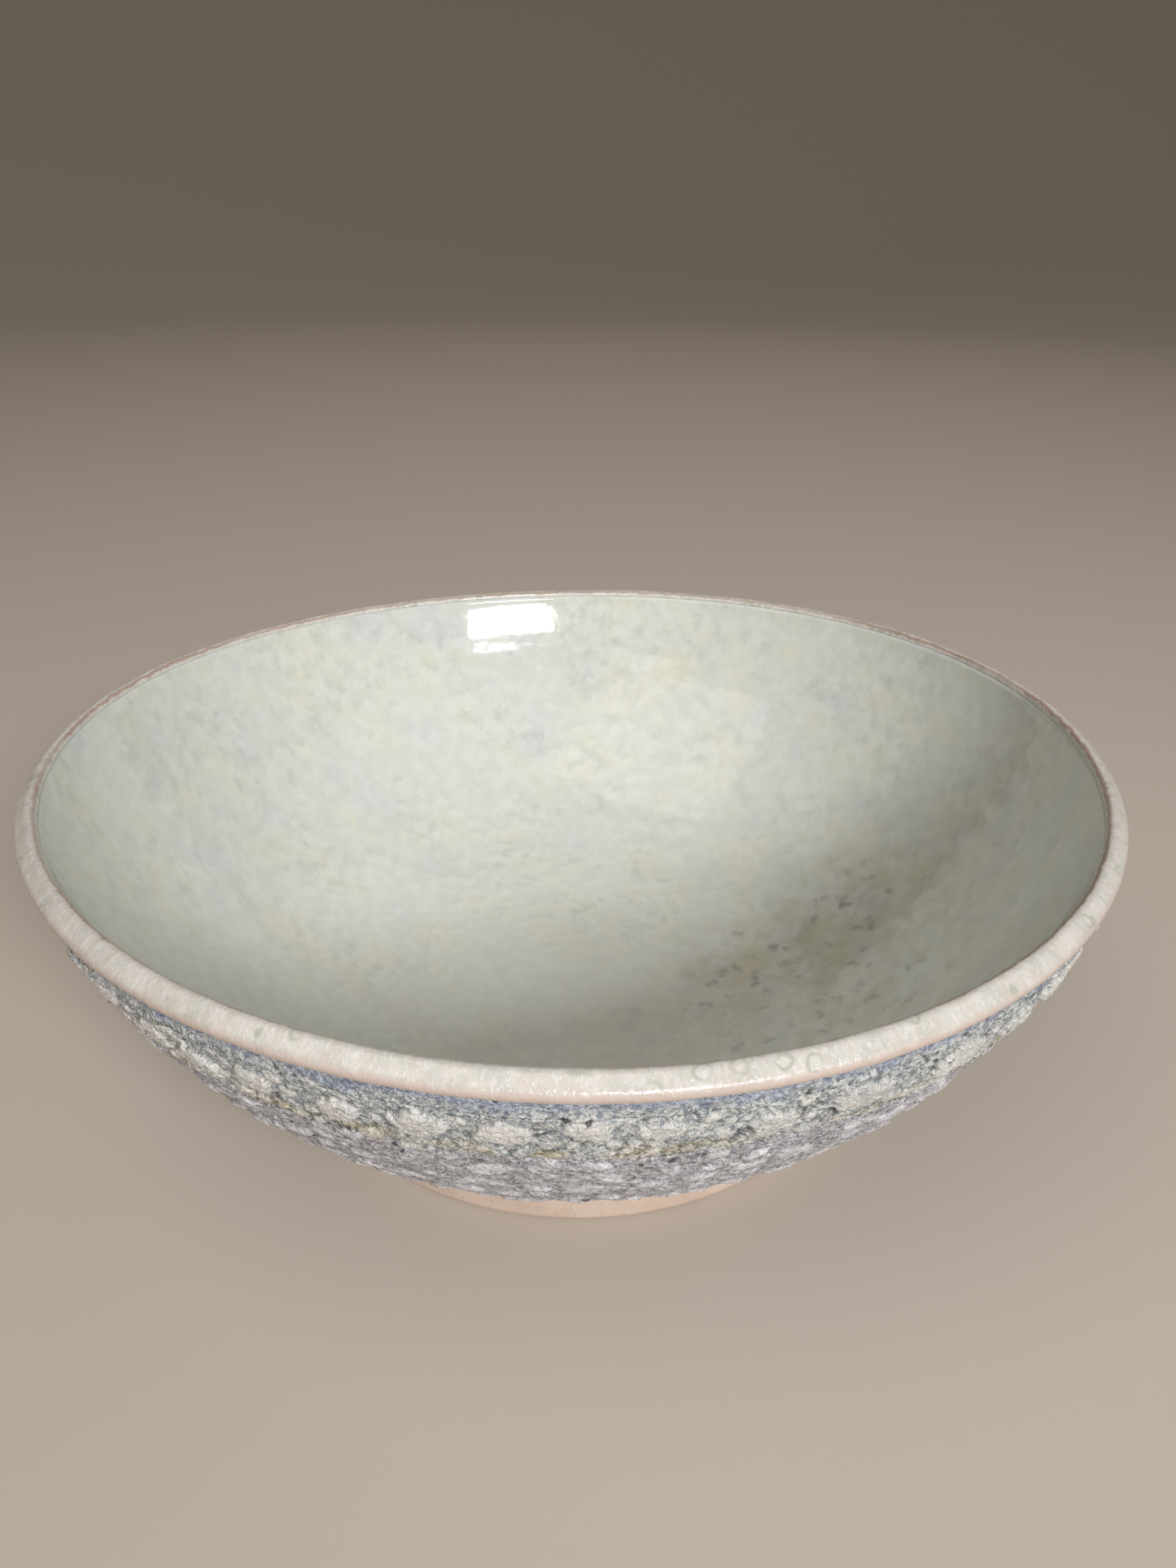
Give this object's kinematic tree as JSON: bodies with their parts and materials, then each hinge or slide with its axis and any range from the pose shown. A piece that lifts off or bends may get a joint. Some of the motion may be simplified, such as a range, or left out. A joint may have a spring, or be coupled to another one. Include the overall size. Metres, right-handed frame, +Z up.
{
  "type": "punch bowl",
  "caption": "Wide footed stoneware bowl with a smooth pale glazed inside, a glossy rounded rim, a blistered crater-glaze outside and a bare clay foot ring.",
  "frame": {"origin": "centre of the foot ring's resting face, on the table", "axes": "+Z up along the bowl's axis of turning; the bowl is round, so +X and +Y are free"},
  "size_m": [0.3099, 0.31, 0.106],
  "materials": {
    "stoneware_clay": "fired, unglazed, fine matt",
    "foot_clay": "bare buff-pink clay, sponged smooth, matt",
    "liner_glaze": "glossy pale grey-green, softly mottled, with grey freckles",
    "rim_glaze": "glossy pinkish cream with fine streaks and faint ring marks",
    "blue_glaze": "granular blue-grey, satin",
    "crater_glaze_upper": "rough blistered crust, matt, cream plaques on blue-grey",
    "crater_glaze_lower": "rough blistered crust, matt, lilac grey"
  },
  "bodies": {
    "root": {"stoneware_wall": "stoneware_clay", "foot_ring": "foot_clay", "liner_glaze": "liner_glaze", "rim_glaze": "rim_glaze", "blue_glaze_band": "blue_glaze", "crater_glaze_upper": "crater_glaze_upper", "crater_glaze_lower": "crater_glaze_lower"}
  },
  "joints": []
}
